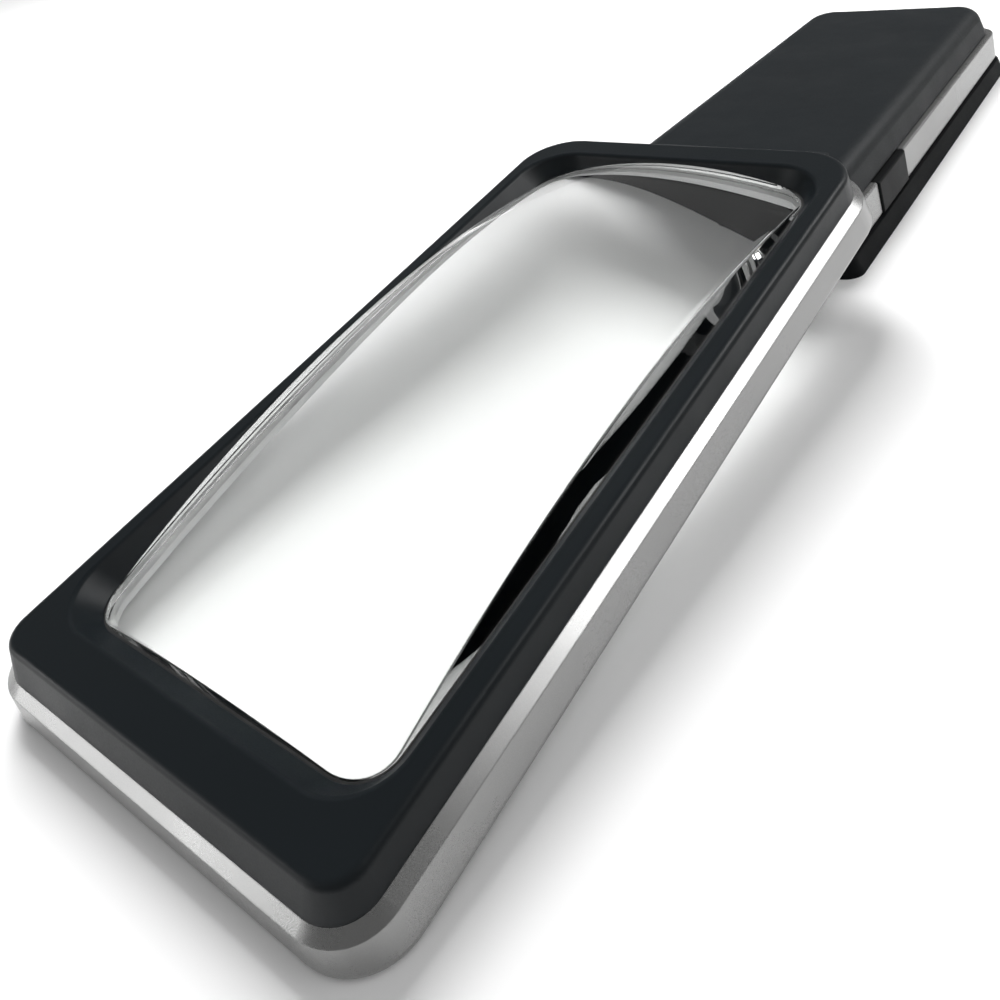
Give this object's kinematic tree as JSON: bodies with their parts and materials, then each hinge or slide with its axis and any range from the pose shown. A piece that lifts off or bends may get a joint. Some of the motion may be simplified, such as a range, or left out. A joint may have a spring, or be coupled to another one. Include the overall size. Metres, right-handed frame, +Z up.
{
  "type": "handheld magnifying glass",
  "caption": "Handheld rectangular page magnifier with a thick domed lens, lit head, flat battery handle, side dimmer button and sliding battery door.",
  "frame": {"origin": "on the table plane under the middle of the whole object", "axes": "+Z up from the table, +Y along the object from the head towards the handle's far end, +X to the right when looking along +Y"},
  "size_m": [0.0776, 0.294, 0.0293],
  "materials": {
    "black_shell": "fine matte grain",
    "frame_grey": "fine matte grain",
    "black_bezel": "fine matte grain, soft sheen",
    "silver_paint": "satin silver paint",
    "lens_clear": "polished clear",
    "seal_rubber": "matte",
    "button_black": "satin",
    "diffuser_white": "frosted",
    "board_mask": "solder mask",
    "led_board_mask": "white solder mask",
    "led_package": "moulded resin",
    "chip_black": "moulded resin",
    "switch_black": "moulded",
    "plunger_red": "moulded",
    "steel": "zinc plated",
    "nickel": "nickel plated",
    "cell_wrap": "plain film",
    "wire_red": "insulated wire",
    "wire_black": "insulated wire"
  },
  "bodies": {
    "body": {"bezel": "black_bezel", "side_band": "silver_paint", "rear_frame": "frame_grey", "lens": "lens_clear", "lens_seal": "seal_rubber", "led_board_left": "led_board_mask", "led_board_right": "led_board_mask", "leds_left": "led_package", "leds_right": "led_package", "diffuser_left": "diffuser_white", "diffuser_right": "diffuser_white", "head_screws": "steel", "neck_bracket": "steel", "bracket_screws": "steel", "upper_shell": "black_shell", "lower_shell": "black_shell", "handle_trim": "silver_paint", "trim_insert": "silver_paint", "dimmer_switch": "switch_black", "control_board": "board_mask", "board_parts": "chip_black", "cell_1": "cell_wrap", "cell_2": "cell_wrap", "cell_3": "cell_wrap", "cell_springs": "nickel", "contact_plates": "nickel", "battery_leads": "wire_red", "handle_screws": "steel", "led_lead_left": "wire_red", "led_lead_right": "wire_black"},
    "button": {"dimmer_button": "button_black", "switch_plunger": "plunger_red"},
    "door": {"battery_door": "black_shell"}
  },
  "joints": [
    {"name": "button_press", "type": "slide", "parent": "body", "child": "button", "axis": [-1, 0, 0], "range_m": [0, 0.0007], "stiffness_N_per_m": 800},
    {"name": "door_slide", "type": "slide", "parent": "body", "child": "door", "axis": [0, 1, 0], "range_m": [0, 0.048]}
  ]
}
